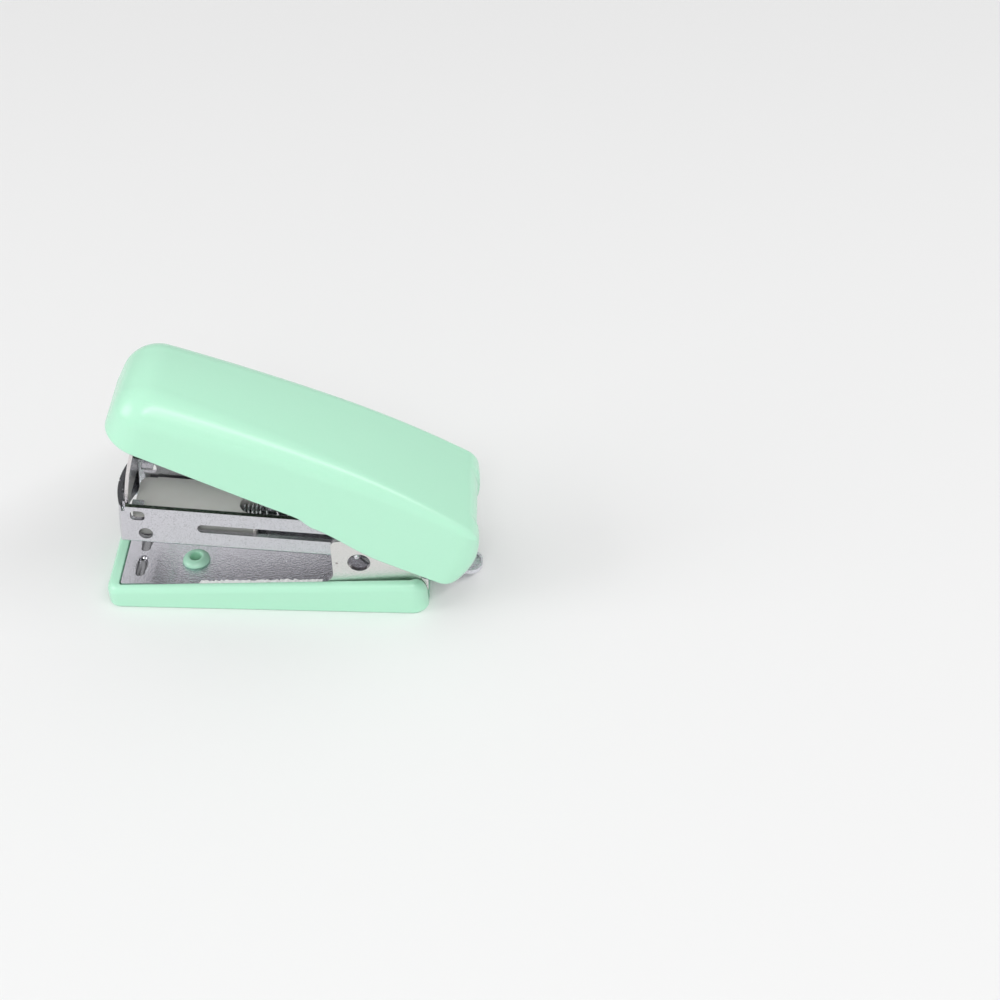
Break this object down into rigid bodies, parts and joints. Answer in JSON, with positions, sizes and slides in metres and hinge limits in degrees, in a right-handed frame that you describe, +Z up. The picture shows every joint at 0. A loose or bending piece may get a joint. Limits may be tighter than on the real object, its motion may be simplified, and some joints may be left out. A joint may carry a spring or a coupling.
{
  "type": "stapler",
  "caption": "Pocket stapler with a thick rounded plastic cap, steel magazine and base plate in a shallow plastic tray, standing open at rest.",
  "frame": {"origin": "on the table under the middle of the base tray, on the stapler's plane of symmetry", "axes": "+X along the stapler towards the hinge, so the mouth faces -X; +Z up; the plane y = 0 is the plane of symmetry"},
  "size_m": [0.0569, 0.0206, 0.0401],
  "materials": {
    "mint_plastic": "satin moulded ABS, mint green",
    "milky_plastic": "milky translucent acetal",
    "plated_steel": "bright zinc plated sheet with fine specks",
    "polished_steel": "polished",
    "spring_steel": "nickel plated spring steel",
    "rivet_steel": "plain steel, bright"
  },
  "bodies": {
    "base": {"base_tray": "mint_plastic", "base_plate": "plated_steel", "hinge_pin": "rivet_steel", "lift_spring": "spring_steel", "lift_spring_rivet": "rivet_steel"},
    "magazine": {"magazine_channel": "plated_steel", "pusher_rod": "polished_steel", "pusher_spring": "spring_steel"},
    "pusher": {"pusher": "milky_plastic"},
    "handle": {"driver_arm": "plated_steel", "driver_blade": "polished_steel", "blade_rivet_left": "rivet_steel", "blade_rivet_right": "rivet_steel", "return_spring": "spring_steel", "return_spring_rivet": "rivet_steel", "cap": "mint_plastic"}
  },
  "joints": [
    {"name": "magazine_hinge", "type": "hinge", "parent": "base", "child": "magazine", "pos_m": [0.023, 0, 0.0132], "axis": [0, -1, 0], "range_deg": [0, 9.6], "stiffness_Nm_per_rad": 0.4, "springref_deg": -8.59, "deforming": ["lift_spring"]},
    {"name": "handle_hinge", "type": "hinge", "parent": "magazine", "child": "handle", "pos_m": [0.023, 0, 0.0132], "axis": [0, -1, 0], "range_deg": [-26, 8.2], "stiffness_Nm_per_rad": 0.3, "springref_deg": -0.52, "deforming": ["return_spring"]},
    {"name": "pusher_slide", "type": "slide", "parent": "magazine", "child": "pusher", "axis": [0.9945, 0, -0.1045], "range_m": [0, 0.018], "stiffness_N_per_m": 30, "springref_m": -0.01, "deforming": ["pusher_spring"]}
  ]
}
